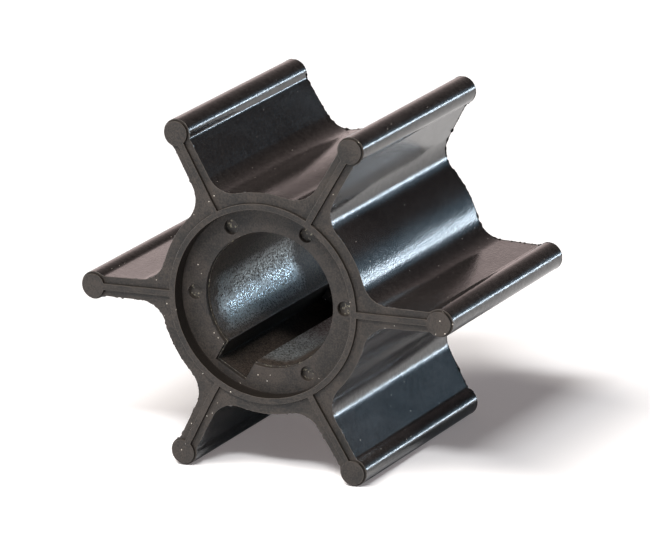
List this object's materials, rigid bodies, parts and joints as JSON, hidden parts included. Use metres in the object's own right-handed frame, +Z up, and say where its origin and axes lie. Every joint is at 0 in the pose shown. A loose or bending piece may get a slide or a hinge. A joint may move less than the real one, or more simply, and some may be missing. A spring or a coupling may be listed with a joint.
{
  "type": "rubber pump impeller",
  "caption": "Flexible-vane rubber impeller for a raw-water cooling pump, moulded round a keyed metal hub insert, with beaded vane tips and sealing ribs on both ends.",
  "frame": {"origin": "on the axis of the shaft bore, half way along it", "axes": "Y runs along the bore axis, -Y towards the end that faces the viewer; +Z is up with the part standing on its two lowest vane tips; +X is along one vane"},
  "size_m": [0.0572, 0.04, 0.05],
  "materials": {
    "vane_rubber": "black nitrile or neoprene rubber, matte on the ends and satin on the vane flanks",
    "insert_metal": "brass sleeve under a rough black bonding coat, bare brass at the pin marks"
  },
  "bodies": {
    "root": {"rubber_body": "vane_rubber", "hub_insert": "insert_metal"}
  },
  "joints": []
}
